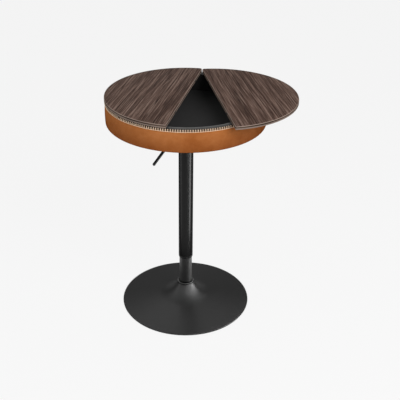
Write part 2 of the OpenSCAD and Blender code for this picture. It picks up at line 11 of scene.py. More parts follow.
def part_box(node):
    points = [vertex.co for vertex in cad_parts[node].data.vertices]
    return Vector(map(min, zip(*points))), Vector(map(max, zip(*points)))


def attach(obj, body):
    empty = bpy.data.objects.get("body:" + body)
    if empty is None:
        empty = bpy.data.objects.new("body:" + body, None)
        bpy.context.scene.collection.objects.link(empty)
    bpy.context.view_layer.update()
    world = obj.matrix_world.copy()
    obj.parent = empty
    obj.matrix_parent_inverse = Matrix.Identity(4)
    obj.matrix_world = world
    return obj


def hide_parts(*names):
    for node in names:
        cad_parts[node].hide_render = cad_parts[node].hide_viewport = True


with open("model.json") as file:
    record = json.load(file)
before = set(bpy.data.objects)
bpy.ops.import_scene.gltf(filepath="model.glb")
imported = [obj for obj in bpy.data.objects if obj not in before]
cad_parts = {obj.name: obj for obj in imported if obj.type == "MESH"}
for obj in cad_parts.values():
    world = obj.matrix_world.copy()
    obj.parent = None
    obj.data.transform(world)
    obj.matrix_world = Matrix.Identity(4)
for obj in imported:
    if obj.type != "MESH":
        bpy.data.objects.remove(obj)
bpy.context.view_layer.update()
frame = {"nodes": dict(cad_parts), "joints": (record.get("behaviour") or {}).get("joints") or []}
nodes = frame["nodes"]
joints = {j["name"]: j for j in frame["joints"]}
scene = bpy.context.scene
random.seed(7)

# Lowest and highest corners of CAD nodes, in metres
BASE_LOW, BASE_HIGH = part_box("base_shell")
COLLAR_LOW, COLLAR_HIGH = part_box("neck_collar")
TUBE_LOW, TUBE_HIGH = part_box("column_tube")
SLEEVE_LOW, SLEEVE_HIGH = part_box("cover_sleeve")
LIP_LOW, LIP_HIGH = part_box("sleeve_end_ring")
SKIN_LOW, SKIN_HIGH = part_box("leather_wrap")
RIM_LOW, RIM_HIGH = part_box("rim_ring")
PANEL_LOW, PANEL_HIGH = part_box("left_panel")

# Base and neck; slope and lean in degrees
BASE_R = BASE_HIGH.x
BASE_Z = BASE_LOW.z
NECK_TOP = BASE_HIGH.z
BASE_HEM_W = 0.022
SHEET = 0.002
FOLD_R = 0.0025
CONE_SLOPE = 7
NECK_R = 0.0325
NECK_RIM = 0.002
NECK_LEAN = 68
FLARE_R = 0.0955
COLLAR_BORE = 0.0256
COLLAR_GAP = 0.0002
TUBE_WALL = 0.002

# Sleeve and its end ring
SLEEVE_WALL = 0.0015
LIP_BORE = 0.0257
LIP_GAP = 0.0001

# Leather, its hem and the stitches
DRUM_Z = SKIN_LOW.z
LEATHER_TOP = SKIN_HIGH.z
HEM_R = SKIN_HIGH.x
DRUM_R = HEM_R - 0.0008
HEM_H = 0.011
HEM_FOOT = LEATHER_TOP - HEM_H
SKIN_T = 0.0019
STITCH_Z = LEATHER_TOP - 0.0073
STITCHES = 220

# Rim of the drum
RIM_IN = 0.2759
BEAD_W = 0.0030

# Panels, drawn in the seam's frame: +Y runs along the seam to the back
TOP_Z = PANEL_HIGH.z
PANEL_Z = PANEL_LOW.z
PANEL_R = 0.300
SEAM_HALF = 0.002
BACK_CORNER = 0.010
FRONT_CORNER = 0.003
BAND_T = 0.001
TOP_ROUND = 0.0022
LOW_ROUND = 0.0010
LEFT_PIVOT = Vector(joints["left_panel_swing"]["pos_m"][:2])
RIGHT_PIVOT = Vector(joints["right_panel_swing"]["pos_m"][:2])
SEAM_END = (LEFT_PIVOT + RIGHT_PIVOT) / 2
SEAM_TURN = math.atan2(SEAM_END.x, SEAM_END.y)
PIVOT = Vector(((RIGHT_PIVOT - LEFT_PIVOT).length / 2, SEAM_END.length))
OPEN = -math.radians(joints["right_panel_swing"]["range_deg"][0])

# Lever grip over the rod, which bends close to its pivot
GRIP_L = 0.078
GRIP_R = 0.0055
GRIP_BORE_R = 0.0041
GRIP_END_T = 0.0045
LEVER_BEND = 0.006
LEVER_REACH = 0.196
LEVER_DROP = 0.093

# Where painted shade turns a material black: (from, to) heights, a (radius, height) pair and a radius
# Painted shade at the tube's foot, on the neck's rim and on the collar; painted shadow on the rim's outer
# edge under the panels
TUBE_SHADE = (COLLAR_HIGH.z + 0.0045, COLLAR_HIGH.z + 0.0015)
NECK_SHADE = (NECK_TOP - 0.0050, NECK_TOP - 0.0028)
COLLAR_SHADE = (0.0308, NECK_TOP + 0.0022)
RIM_SHADE_R = 0.2918

# Colours that more than one material uses
# Colour of the painted highlight along the panels' rounded top edges; the edge band's foot takes a share
# of it too
EDGE_LIGHT = (0.370, 0.285, 0.240)
# Black of the painted shade on the lower tube, the neck and the collar
SHADE_BLACK = (0.001, 0.001, 0.001)


# Node helpers

class Net:
    """A material's nodes behind short calls; its textures read the object's own coordinates."""

    def __init__(self, name, **fixed):
        self.mat = bpy.data.materials.new(name)
        self.mat.use_nodes = True
        self.tree = self.mat.node_tree
        self.bsdf = self.tree.nodes["Principled BSDF"]
        self.coords = self.add("ShaderNodeTexCoord").outputs["Object"]
        for key, value in fixed.items():
            self.bsdf.inputs[key.replace("_", " ")].default_value = value

    def feed(self, socket, value):
        """Links a node's output to the socket, or sets the socket to a value."""
        if isinstance(value, bpy.types.NodeSocket):
            self.tree.links.new(value, socket)
        elif socket.type == "RGBA":
            socket.default_value = (*value, 1)
        else:
            socket.default_value = value

    def add(self, kind, **inputs):
        """A new node with its inputs fed, an input's name written with underscores for spaces."""
        node = self.tree.nodes.new(kind)
        for key, value in inputs.items():
            self.feed(node.inputs[key.replace("_", " ")], value)
        return node

    def mapped(self, scale=(1, 1, 1), turn=0.0, shift=(0, 0, 0), source=None):
        node = self.add("ShaderNodeMapping", Vector=source or self.coords, Scale=scale,
                        Rotation=(0, 0, turn), Location=shift)
        return node.outputs["Vector"]

    def noise(self, scale, detail=2.0, rough=0.5, source=None, distortion=0.0):
        node = self.add("ShaderNodeTexNoise", Vector=source or self.coords, Scale=scale,
                        Detail=detail, Roughness=rough, Distortion=distortion)
        return node.outputs["Fac"]

    def stretched(self, scale, detail=2.0, rough=0.5, shift=(0, 0, 0), source=None):
        """Noise with its own scale along each axis."""
        return self.noise(1.0, detail, rough, self.mapped(scale, shift=shift, source=source))

    def cells(self, scale):
        """Distance from the middle of soft-edged cells."""
        node = self.add("ShaderNodeTexVoronoi")
        node.feature = "SMOOTH_F1"
        self.feed(node.inputs["Vector"], self.coords)
        self.feed(node.inputs["Scale"], scale)
        self.feed(node.inputs["Smoothness"], 0.6)
        return node.outputs["Distance"]

    def math(self, operation, a, b=0.0):
        node = self.tree.nodes.new("ShaderNodeMath")
        node.operation = operation
        self.feed(node.inputs[0], a)
        self.feed(node.inputs[1], b)
        return node.outputs[0]

    def times(self, a, b):
        return self.math("MULTIPLY", a, b)

    def most(self, a, b):
        return self.math("MAXIMUM", a, b)

    def rest(self, a):
        """1 - a"""
        return self.math("SUBTRACT", 1.0, a)

    def rise(self, start, value, amount):
        """start + value * amount"""
        return self.math("ADD", start, self.times(value, amount))

    def weighted(self, *parts):
        """Sum of (value, weight) pairs."""
        total = None
        for value, weight in parts:
            share = self.times(value, weight)
            total = share if total is None else self.math("ADD", total, share)
        return total

    def spread(self, value, start, end, low=0.0, high=1.0):
        """Smooth step from low at start to high at end."""
        node = self.add("ShaderNodeMapRange", Value=value, From_Min=start, From_Max=end,
                        To_Min=low, To_Max=high)
        node.interpolation_type = "SMOOTHSTEP"
        return node.outputs["Result"]

    def ramp(self, value, stops):
        """Colour ramp through (position, colour) stops."""
        node = self.add("ShaderNodeValToRGB", Fac=value)
        elements = node.color_ramp.elements
        while len(elements) < len(stops):
            elements.new(0.5)
        for element, (position, colour) in zip(elements, stops):
            element.position = position
            element.color = (*colour, 1)
        return node.outputs["Color"]

    def mix(self, fac, a, b, kind="MIX"):
        """Colour a where fac is 0 and b where it is 1."""
        node = self.tree.nodes.new("ShaderNodeMix")
        node.data_type = "RGBA"
        node.blend_type = kind
        fac_in = next(s for s in node.inputs if s.type == "VALUE")
        colours_in = [s for s in node.inputs if s.type == "RGBA"]
        for socket, value in zip([fac_in, *colours_in], (fac, a, b)):
            self.feed(socket, value)
        return next(s for s in node.outputs if s.type == "RGBA")

    def split(self, source=None):
        return self.add("ShaderNodeSeparateXYZ", Vector=source or self.coords).outputs

    def height(self):
        return self.split()[2]

    def radius(self):
        """Distance from the column's axis."""
        x, y, _ = self.split()
        return self.math("SQRT", self.math("ADD", self.times(x, x), self.times(y, y)))

    def gloss(self, face, edge, start, end):
        """Specular level that changes from the part turned to the viewer to its outline."""
        facing = self.add("ShaderNodeLayerWeight", Blend=0.5).outputs["Facing"]
        level = self.bsdf.inputs["Specular IOR Level"]
        level.default_value = face
        self.feed(level, self.spread(facing, start, end, face, edge))

    def bump(self, height, distance, strength, after=None):
        node = self.add("ShaderNodeBump", Height=height, Distance=distance, Strength=strength)
        if after is not None:
            self.feed(node.inputs["Normal"], after)
        return node.outputs["Normal"]

    def out(self, colour, rough, normal):
        self.feed(self.bsdf.inputs["Base Color"], colour)
        self.feed(self.bsdf.inputs["Roughness"], rough)
        self.feed(self.bsdf.inputs["Normal"], normal)
        return self.mat


# Materials

def wood(name, turn, shift):
    """Dark grey-brown laminate; the grain runs along the texture's Y and wanders a little."""
    net = Net(name)
    base = net.mapped(turn=turn, shift=shift)
    wander = net.noise(2.6, 2, source=net.mapped((1, 0.5, 1), source=base))
    x, y, z = net.split(base)
    grain = net.add("ShaderNodeCombineXYZ", X=net.rise(x, wander, 0.030), Y=y, Z=z).outputs[0]
    broad = net.stretched((60, 1.5, 60), 3, 0.55, source=grain)
    streak = net.stretched((350, 3.2, 350), 4, 0.70, source=grain)
    fine = net.stretched((640, 9, 640), 3, 0.6, source=grain)
    pores = net.spread(net.stretched((1150, 42, 1150), source=grain), 0.30, 0.42)
    flash = net.spread(net.stretched((250, 4.2, 250), shift=(3, 5, 0), source=grain), 0.60, 0.70)
    colour = net.ramp(net.weighted((broad, 0.15), (streak, 0.48), (fine, 0.37)), [
        (0.41, (0.021, 0.012, 0.009)),
        (0.465, (0.050, 0.028, 0.021)),
        (0.50, (0.087, 0.051, 0.039)),
        (0.54, (0.138, 0.087, 0.068)),
        (0.60, (0.246, 0.168, 0.136))])
    colour = net.mix(net.times(flash, 0.50), colour, (0.300, 0.210, 0.170))
    colour = net.mix(net.times(net.rest(pores), 0.40), colour, (0.014, 0.009, 0.007))
    # A painted highlight lightens the laminate along its rounded edge, below its flat top
    lightened = net.spread(net.height(), TOP_Z - 0.00006, TOP_Z - 0.00030)
    colour = net.mix(net.times(lightened, 0.65), colour, EDGE_LIGHT)
    net.gloss(0.08, 0.006, 0.30, 0.56)
    normal = net.bump(net.weighted((fine, 0.5), (pores, 0.6)), 0.00012, 0.55)
    return net.out(colour, net.rise(0.33, streak, 0.16), normal)


def edge_band(name):
    """Edge band with lines along the edge, a painted highlight along its rounded top, and lighter towards
    its foot.
    """
    net = Net(name)
    lines = net.stretched((9, 9, 850), 3, 0.6)
    patch = net.noise(14.0, 3, 0.6)
    colour = net.ramp(net.weighted((lines, 0.7), (patch, 0.3)), [
        (0.38, (0.022, 0.014, 0.010)),
        (0.52, (0.056, 0.036, 0.026)),
        (0.66, (0.110, 0.075, 0.056))])
    # Painted highlight along the rounded top edge; the band is also lighter towards its foot
    top = net.spread(net.height(), TOP_Z - TOP_ROUND, TOP_Z - TOP_ROUND * 0.45)
    foot = net.times(net.spread(net.height(), PANEL_Z + 0.0062, PANEL_Z + 0.0046), 0.62)
    lightened = net.times(net.most(top, foot), net.rise(0.55, patch, 0.5))
    colour = net.mix(lightened, colour, EDGE_LIGHT)
    net.gloss(0.05, 0.0, 0.35, 0.75)
    return net.out(colour, net.rise(0.36, lines, 0.15), net.bump(lines, 0.00008, 0.5))


def leather():
    """Caramel leather with painted shade towards its foot, and nearly black under the stitches."""
    net = Net("leather_caramel")
    patches = net.noise(7.0, 3, 0.55)
    mottle = net.noise(38.0, 3, 0.6)
    colour = net.ramp(net.weighted((patches, 0.62), (mottle, 0.38)), [
        (0.34, (0.288, 0.090, 0.022)),
        (0.50, (0.341, 0.117, 0.033)),
        (0.66, (0.396, 0.147, 0.047))])
    # Painted shade, darker towards the drum's foot
    foot = net.rest(net.spread(net.height(), DRUM_Z - 0.004, DRUM_Z + 0.070))
    colour = net.mix(foot, colour, net.mix(1.0, colour, (0.66, 0.56, 0.46), "MULTIPLY"))
    # The hem behind the stitches is nearly black
    dark_hem = net.spread(net.height(), STITCH_Z - 0.0004, STITCH_Z + 0.0012)
    colour = net.mix(net.times(dark_hem, 0.96), colour, (0.018, 0.008, 0.004))
    pebbles = net.weighted((net.cells(760.0), 0.6), (net.noise(230.0, 4, 0.65), 0.5))
    net.gloss(0.024, 0.0, 0.30, 0.75)
    normal = net.bump(pebbles, 0.00022, 0.55, after=net.bump(patches, 0.004, 0.12))
    return net.out(colour, net.rise(0.46, mottle, 0.20), normal)


def thread():
    """Cream sewing thread with painted shade between its turns."""
    net = Net("thread_cream")
    twist = net.noise(1500.0, 2, 0.6)
    age = net.noise(60.0, 2)
    colour = net.mix(age, (0.80, 0.56, 0.38), (0.95, 0.76, 0.56))
    # Painted shade between the thread's turns
    colour = net.mix(net.times(net.spread(twist, 0.55, 0.35), 0.5), colour, (0.25, 0.15, 0.09))
    return net.out(colour, net.rise(0.62, twist, 0.2), net.bump(twist, 0.0003, 0.7))


def painted(name, dark, light, rough, gloss=0.22, edge=0.02, peel_scale=900.0, peel_depth=0.00006,
            shade_heights=None):
    """Satin powder coat with a fine orange peel; painted shade turns it black from the first of two given
    heights to the second.
    """
    net = Net(name)
    peel = net.noise(peel_scale, 3, 0.6)
    cloud = net.noise(11.0, 3, 0.6)
    colour = net.mix(net.weighted((peel, 0.4), (cloud, 0.6)), dark, light)
    # Painted shade, black between the two given heights
    if shade_heights:
        colour = net.mix(net.spread(net.height(), *shade_heights), colour, SHADE_BLACK)
    net.gloss(gloss, edge, 0.20, 0.48)
    return net.out(colour, net.rise(rough, cloud, 0.10), net.bump(peel, peel_depth, 0.6))


def plastic(name, dark, light, rough, gloss=0.35, shade_from=None, shade_bounds=None):
    """Moulded plastic, with painted shadow that turns it black beyond a given radius.

    Painted shade also turns it black inside another given radius, and below a given height.
    """
    net = Net(name)
    grain = net.noise(1800.0, 2, 0.5)
    colour = net.mix(net.noise(25.0, 2), dark, light)
    # Painted shadow, black beyond the given radius
    if shade_from:
        outside = net.spread(net.radius(), shade_from, shade_from + 0.0008)
        colour = net.mix(outside, colour, (0.004, 0.003, 0.003))
    # Painted shade, black inside the given radius and also below the given height
    if shade_bounds:
        shade_r, shade_z = shade_bounds
        inside = net.spread(net.radius(), shade_r, shade_r - 0.0006)
        below = net.spread(net.height(), shade_z + 0.0004, shade_z)
        colour = net.mix(net.most(inside, below), colour, SHADE_BLACK)
    net.gloss(gloss, gloss * 0.15, 0.40, 0.80)
    return net.out(colour, net.rise(rough, grain, 0.12), net.bump(grain, 0.00005, 0.6))


def rubber():
    net = Net("rubber_black", Specular_IOR_Level=0.25)
    grain = net.noise(900.0, 3, 0.6)
    colour = net.mix(grain, (0.012, 0.012, 0.012), (0.032, 0.031, 0.030))
    return net.out(colour, net.rise(0.68, grain, 0.2), net.bump(grain, 0.00015, 0.7))


def steel():
    """Zinc-plated steel with turning marks."""
    net = Net("steel_plated", Metallic=1.0)
    marks = net.stretched((120, 120, 1900), 3, 0.6)
    colour = net.mix(net.noise(45.0, 3, 0.6), (0.42, 0.42, 0.43), (0.66, 0.66, 0.67))
    return net.out(colour, net.rise(0.24, marks, 0.24), net.bump(marks, 0.00004, 0.6))


def cast_iron():
    """Painted iron with the grain of a sand mould."""
    net = Net("cast_iron_painted", Specular_IOR_Level=0.3)
    sand = net.noise(420.0, 4, 0.7)
    colour = net.mix(sand, (0.018, 0.018, 0.019), (0.05, 0.05, 0.05))
    return net.out(colour, net.rise(0.55, sand, 0.25), net.bump(sand, 0.0006, 0.8))


def plywood():
    """Bent birch plywood, whose veneers show as lines across Z."""
    net = Net("plywood_birch")
    veneers = net.stretched((2, 2, 900), 1, 0.4)
    grain = net.stretched((14, 320, 320), 4, 0.6)
    colour = net.ramp(net.weighted((veneers, 0.5), (grain, 0.5)), [
        (0.35, (0.30, 0.19, 0.10)),
        (0.65, (0.62, 0.46, 0.29))])
    return net.out(colour, net.rise(0.5, grain, 0.2), net.bump(grain, 0.0001, 0.5))


def stained_board():
    net = Net("board_stained_black", Specular_IOR_Level=0.3)
    grain = net.stretched((9, 240, 240), 4, 0.6)
    colour = net.ramp(net.weighted((grain, 0.7), (net.noise(9.0, 2), 0.3)), [
        (0.35, (0.010, 0.009, 0.009)),
        (0.65, (0.040, 0.036, 0.034))])
    return net.out(colour, net.rise(0.5, grain, 0.25), net.bump(grain, 0.00015, 0.6))


def felt():
    net = Net("felt_black", Specular_IOR_Level=0.1, Sheen_Weight=0.05, Sheen_Roughness=0.6)
    fibre = net.noise(1300.0, 4, 0.75, distortion=1.4)
    clump = net.noise(120.0, 3, 0.6)
    shade = net.weighted((fibre, 0.6), (clump, 0.4))
    colour = net.mix(shade, (0.007, 0.007, 0.007), (0.026, 0.025, 0.025))
    return net.out(colour, net.rise(0.85, clump, 0.1), net.bump(fibre, 0.0005, 0.8))


def grey(level):
    return (level, level, level)


MATERIALS = {
    "wood_left": wood("laminate_left", SEAM_TURN, (0.13, 0.05, 0)),
    "wood_right": wood("laminate_right", SEAM_TURN - OPEN, (0.71, 0.4, 0)),
    "edge": edge_band("edge_band_laminate"),
    "leather": leather(),
    "thread": thread(),
    "sleeve": painted("powder_coat_column", grey(0.0025), grey(0.006), 0.24, gloss=0.17, edge=0.012),
    "tube": painted("satin_lower_tube", grey(0.011), grey(0.021), 0.36, gloss=0.16, edge=0.62,
                    shade_heights=TUBE_SHADE),
    "base": painted("powder_coat_base", grey(0.011), grey(0.018), 0.42, gloss=0.22, edge=0.045,
                    peel_scale=700.0, peel_depth=0.00009, shade_heights=NECK_SHADE),
    "hidden_paint": painted("powder_coat_plate", (0.014, 0.014, 0.015), (0.028, 0.028, 0.029), 0.42,
                            peel_scale=600.0),
    "plastic": plastic("moulded_black", grey(0.006), grey(0.012), 0.30, gloss=0.2),
    "lip": plastic("ring_black", grey(0.002), grey(0.005), 0.20, gloss=0.2),
    "collar": plastic("collar_charcoal", grey(0.032), grey(0.046), 0.28, gloss=0.16,
                      shade_bounds=COLLAR_SHADE),
    "rim": plastic("rim_charcoal", (0.034, 0.033, 0.031), (0.060, 0.058, 0.054), 0.45, gloss=0.2,
                   shade_from=RIM_SHADE_R),
    "bead": plastic("rim_bead_grey", grey(0.10), (0.16, 0.155, 0.15), 0.38),
    "nylon": plastic("nylon_natural", (0.62, 0.60, 0.55), (0.74, 0.72, 0.67), 0.35),
    "rubber": rubber(),
    "steel": steel(),
    "iron": cast_iron(),
    "ply": plywood(),
    "stained": stained_board(),
    "felt": felt(),
}

# CAD nodes that show as built, by material
CAD_LOOKS = {
    "iron": ["ballast_plate"],
    "rubber": ["foot_ring", "bump_stop", "rod_seal", "left_stop_peg", "right_stop_peg",
               "left_seam_bumpers", "right_seam_bumpers"],
    "steel": ["column_end_plate", "base_bolt", "base_washer", "spring_seat_plate",
              "bearing_lower_race", "bearing_balls", "piston_rod", "bearing_upper_race", "rod_clip",
              "piston", "lever_pin", "plate_bolts", "tee_nuts", "floor_screws", "valve_pin",
              "left_pivot_pin", "right_pivot_pin", "left_lock_nut", "right_lock_nut"],
    "nylon": ["guide_bush", "pivot_bushes"],
    "hidden_paint": ["mounting_plate", "lever_housing", "gas_cylinder", "release_lever"],
    "plastic": ["sleeve_hanger", "panel_glides"],
    "ply": ["drum_wall"],
    "stained": ["drum_floor"],
    "felt": ["floor_lining", "wall_lining"],
}


def dress_cad_nodes():
    for look, names in CAD_LOOKS.items():
        for name in names:
            slots = nodes[name].data.materials
            slots.clear()
            slots.append(MATERIALS[look])


# Mesh helpers

def piece(name, verts, faces, look, body, slot, replaces=(), sharp=32.0):
    """A smooth mesh piece that rides on a body; edges of more than sharp degrees stay sharp."""
    mesh = bpy.data.meshes.new(name)
    mesh.from_pydata([tuple(v) for v in verts], [], faces)
    work = bmesh.new()
    work.from_mesh(mesh)
    bmesh.ops.recalc_face_normals(work, faces=work.faces)
    work.to_mesh(mesh)
    work.free()
    mesh.materials.append(MATERIALS[look])
    mesh.shade_smooth()
    mesh.set_sharp_from_angle(angle=math.radians(sharp))
    obj = bpy.data.objects.new(name, mesh)
    scene.collection.objects.link(obj)
    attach(obj, body)
    if replaces:
        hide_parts(*replaces)


def grid_faces(rings, around, closed=True, start=0):
    """Quads between rings of points, and from the last ring to the first where it is closed."""
    faces = []
    for i in range(rings if closed else rings - 1):
        a = start + i * around
        b = start + (i + 1) % rings * around
        for j in range(around):
            k = (j + 1) % around
            faces.append((a + j, b + j, b + k, a + k))
    return faces


def end_faces(first, last, around):
    """Lids on the first and the last ring of the points from first to last."""
    return [tuple(range(first, first + around)), tuple(range(last - around, last))]


def on_column(r, a, z):
    """The point at a radius, an angle and a height about the column's axis."""
    return (r * math.cos(a), r * math.sin(a), z)


def arc(centre, r, start, end, steps):
    """Points on an arc, its angles in degrees."""
    angles = [math.radians(start + (end - start) * k / steps) for k in range(steps + 1)]
    return [(centre.x + r * math.cos(t), centre.y + r * math.sin(t)) for t in angles]


def round_edge(r, degrees):
    """Insets and drops along a rounded edge, from its flat face at 0 to its side at 90."""
    angles = [math.radians(t) for t in degrees]
    return [(r * (1 - math.sin(t)), r * (1 - math.cos(t))) for t in angles]


def fillet(corners, steps=5):
    """A closed (r, z) outline from (r, z, rounding) corners."""
    outline = []
    for i, (x, y, rounding) in enumerate(corners):
        if rounding <= 0:
            outline.append((x, y))
            continue
        corner = Vector((x, y))
        a = Vector(corners[i - 1][:2]) - corner
        b = Vector(corners[(i + 1) % len(corners)][:2]) - corner
        half = a.angle(b) / 2
        cut = min(rounding / math.tan(half), 0.49 * a.length, 0.49 * b.length)
        r = cut * math.tan(half)
        a.normalize()
        b.normalize()
        centre = corner + (a + b).normalized() * (r / math.sin(half))
        first = corner + a * cut - centre
        last = corner + b * cut - centre
        turn = math.atan2(first.x * last.y - first.y * last.x, first.dot(last))
        for k in range(steps + 1):
            t = turn * k / steps
            outline.append((centre.x + first.x * math.cos(t) - first.y * math.sin(t),
                            centre.y + first.x * math.sin(t) + first.y * math.cos(t)))
    return outline


def lathe(name, outline, around, shape=None, **style):
    """Turns a closed (r, z) outline about the column's axis; shape may move each point."""
    verts = []
    for i in range(around):
        a = 2 * math.pi * i / around
        for r, z in outline:
            if shape:
                r, z = shape(a, r, z)
            verts.append(on_column(r, a, z))
    piece(name, verts, grid_faces(around, len(outline)), **style)


# Base

def base_cover():
    """Pressed sheet: hem, fold, cone, flare and neck rim, then back along its inside."""
    cone_steps = 14
    rim_round = 0.0004
    lean = math.radians(NECK_LEAN)
    fold = Vector((BASE_R - FOLD_R, BASE_Z + FOLD_R))
    flare = Vector((NECK_R + FLARE_R * math.sin(lean), NECK_TOP - NECK_RIM + FLARE_R * math.cos(lean)))
    outer_fold = arc(fold, FOLD_R, -90, 90 - CONE_SLOPE, 12)
    outer_flare = arc(flare, FLARE_R, 270 - CONE_SLOPE, 270 - NECK_LEAN, 36)
    foot, shoulder = Vector(outer_fold[-1]), Vector(outer_flare[0])
    cone = [tuple(foot.lerp(shoulder, k / cone_steps)) for k in range(1, cone_steps)]
    rim = [(NECK_R, NECK_TOP - rim_round), (NECK_R - rim_round, NECK_TOP), (NECK_R - SHEET, NECK_TOP)]
    inner_flare = arc(flare, FLARE_R + SHEET, 270 - NECK_LEAN, 270 - CONE_SLOPE, 24)
    inner_fold = arc(fold, FOLD_R - SHEET, 90 - CONE_SLOPE, -90, 6)
    hem_r = BASE_R - BASE_HEM_W
    outline = [(hem_r, BASE_Z)] + outer_fold + cone + outer_flare + rim
    outline += inner_flare + inner_fold + [(hem_r, BASE_Z + SHEET)]
    lathe("base_cover", outline, 192, look="base", body="base", slot="black_metal",
          replaces=["base_shell"], sharp=40)


def neck_ring():
    """Collar on the neck's rim, with a skirt down inside the neck."""
    bevel, lead_in = 0.0018, 0.0026
    skirt_r = NECK_R - SHEET - COLLAR_GAP
    outer, top = COLLAR_HIGH.x, COLLAR_HIGH.z
    outline = fillet([
        (COLLAR_BORE, COLLAR_LOW.z, 0), (skirt_r, COLLAR_LOW.z, 0.0005), (skirt_r, NECK_TOP, 0),
        (outer, NECK_TOP, 0.0006), (outer, top - bevel, 0.0016), (outer - bevel, top, 0.0012),
        (COLLAR_BORE + lead_in, top, 0.0010), (COLLAR_BORE, top - lead_in, 0.0008)])
    lathe("neck_ring", outline, 128, look="collar", body="base", slot="black_plastic",
          replaces=["neck_collar"], sharp=50)


def lower_tube():
    outer = TUBE_HIGH.x
    inner = outer - TUBE_WALL
    outline = fillet([(inner, TUBE_LOW.z, 0.0003), (outer, TUBE_LOW.z, 0.0005),
                      (outer, TUBE_HIGH.z, 0.0006), (inner, TUBE_HIGH.z, 0.0004)], 3)
    lathe("lower_tube", outline, 128, look="tube", body="base", slot="black_metal",
          replaces=["column_tube"])


# Sleeve

def sleeve_tube():
    outer = SLEEVE_HIGH.x
    inner = outer - SLEEVE_WALL
    outline = fillet([(inner, SLEEVE_LOW.z, 0.0002), (outer, SLEEVE_LOW.z, 0.0003),
                      (outer, SLEEVE_HIGH.z, 0.0005), (inner, SLEEVE_HIGH.z, 0.0003)], 3)
    lathe("sleeve_tube", outline, 128, look="sleeve", body="top", slot="black_metal",
          replaces=["cover_sleeve"])


def sleeve_lip():
    """Rounded ring at the sleeve's end, with a skirt up inside the sleeve."""
    outer = SLEEVE_HIGH.x
    skirt_r = outer - SLEEVE_WALL - LIP_GAP
    outline = fillet([
        (LIP_BORE, LIP_LOW.z, 0.0008), (outer - 0.0006, LIP_LOW.z, 0.0026),
        (outer + 0.0001, SLEEVE_LOW.z - 0.0002, 0.0008), (skirt_r, SLEEVE_LOW.z, 0),
        (skirt_r, LIP_HIGH.z, 0.0004), (LIP_BORE, LIP_HIGH.z, 0.0004)], 8)
    lathe("sleeve_lip", outline, 128, look="lip", body="top", slot="black_plastic",
          replaces=["sleeve_end_ring"], sharp=50)


# Leather

def leather_outline():
    """Closed outline of the skin: turned under, up the side, over the hem and down inside."""
    side_steps = 26
    foot_round = 0.002
    under_r = DRUM_R - 0.013
    inside_r = DRUM_R - SKIN_T
    side_low, side_high = DRUM_Z + foot_round, HEM_FOOT - 0.0016
    skin = [(under_r, DRUM_Z + SKIN_T), (under_r + 0.0003, DRUM_Z + 0.0004),
            (under_r + 0.001, DRUM_Z), (DRUM_R - 0.004, DRUM_Z)]
    for degrees in (0, 22, 45, 68):
        t = math.radians(degrees)
        skin.append((DRUM_R - foot_round + foot_round * math.sin(t), side_low - foot_round * math.cos(t)))
    skin += [(DRUM_R, side_low + (side_high - side_low) * k / side_steps) for k in range(side_steps + 1)]
    skin += [(DRUM_R + 0.0001, HEM_FOOT - 0.0006), (HEM_R - 0.0003, HEM_FOOT + 0.0001),
             (HEM_R, HEM_FOOT + 0.0008)]
    skin += [(HEM_R, HEM_FOOT + HEM_H * up) for up in (0.25, 0.45, 0.65, 0.82)]
    skin += [(HEM_R - 0.0002, LEATHER_TOP - 0.0006), (HEM_R - 0.0008, LEATHER_TOP - 0.0001),
             (DRUM_R - 0.0014, LEATHER_TOP), (inside_r, LEATHER_TOP - 0.0004)]
    skin += [(inside_r, DRUM_Z + 0.0025), (inside_r, DRUM_Z + SKIN_T)]
    return skin


def between_stitches(a):
    """1 halfway between two stitches, 0 at a stitch."""
    return 0.5 + 0.5 * math.cos(a * STITCHES)


def leather_shape(a, r, z):
    """Crowns the side and waves it softly, and swells the hem between the stitches."""
    crown_h, wave_h, ripple_h = 0.0019, 0.00035, 0.00018
    waves_round, waves_up, ripple_scale = 3.2, 14, 3.1
    swell_out, swell_down = 0.00025, 0.0004
    outside_r, hem_edge_top = DRUM_R - 0.0012, HEM_FOOT + 0.001
    if r < outside_r:
        return r, z
    up = (z - DRUM_Z) / (HEM_FOOT - DRUM_Z)
    if 0.02 < up < 1.0:
        spot = Vector((math.cos(a) * waves_round, math.sin(a) * waves_round, z * waves_up))
        crown = crown_h * math.sin(math.pi * up) ** 0.5
        r += crown + wave_h * noise.noise(spot) + ripple_h * noise.noise(spot * ripple_scale)
    elif up >= 1.0:
        swell = between_stitches(a)
        r += swell_out * swell * math.sin(math.pi * (z - HEM_FOOT) / HEM_H)
        if z < hem_edge_top:
            z -= swell_down * swell
    return r, z


def leather_skin():
    lathe("leather_skin", leather_outline(), STITCHES * 5, leather_shape, look="leather", body="top",
          slot="leather", replaces=["leather_wrap"], sharp=60)


def stitch_path():
    """A stitch over the hem's top and down its face, as (r, z, outward normal)."""
    top_points = 3
    points = [(DRUM_R - 0.0017, LEATHER_TOP - 0.0001), (DRUM_R - 0.0004, LEATHER_TOP + 0.00065),
              (HEM_R - 0.0001, LEATHER_TOP + 0.0003), (HEM_R + 0.00055, LEATHER_TOP - 0.0012),
              (HEM_R + 0.0008, LEATHER_TOP - 0.0034), (HEM_R + 0.00075, LEATHER_TOP - 0.0056),
              (HEM_R + 0.0003, STITCH_Z + 0.0004), (HEM_R - 0.0004, STITCH_Z - 0.0004)]
    path = []
    for k, (r, z) in enumerate(points):
        along = Vector(points[min(k + 1, len(points) - 1)]) - Vector(points[max(k - 1, 0)])
        normal = Vector((-along.y, along.x)).normalized()
        inward = normal.y < 0 if k < top_points else normal.x < 0
        path.append((r, z, -normal if inward else normal))
    return path


